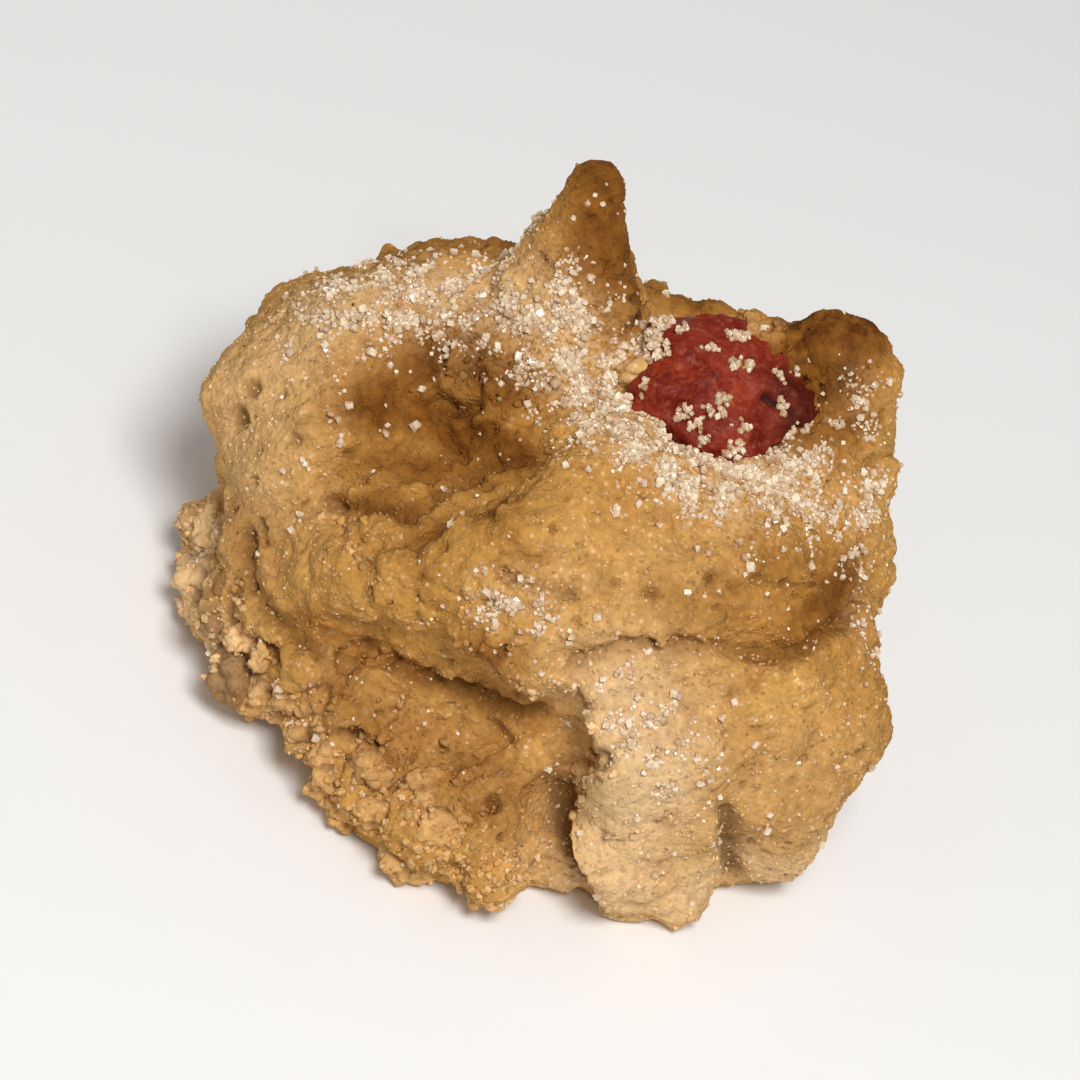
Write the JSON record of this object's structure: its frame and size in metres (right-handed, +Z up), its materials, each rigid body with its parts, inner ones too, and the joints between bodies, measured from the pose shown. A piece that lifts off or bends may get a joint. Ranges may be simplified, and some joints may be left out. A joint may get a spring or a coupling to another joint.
{
  "type": "rock cake",
  "caption": "Craggy baked dough cake with a flat underside, browned peaks round a hollow in its top, a torn glace cherry half in the hollow and coarse sugar on the crust.",
  "frame": {"origin": "on the surface the cake stands on, under the middle of its box", "axes": "+Z up, +X along its longest side, with the front and its deep fold facing -Y"},
  "size_m": [0.0724, 0.0664, 0.053],
  "materials": {
    "crust": "dry, crumbly baked dough with sugar",
    "cherry": "sticky, shrivelled glace skin"
  },
  "bodies": {
    "root": {"dough": "crust", "cherry": "cherry"}
  },
  "joints": []
}
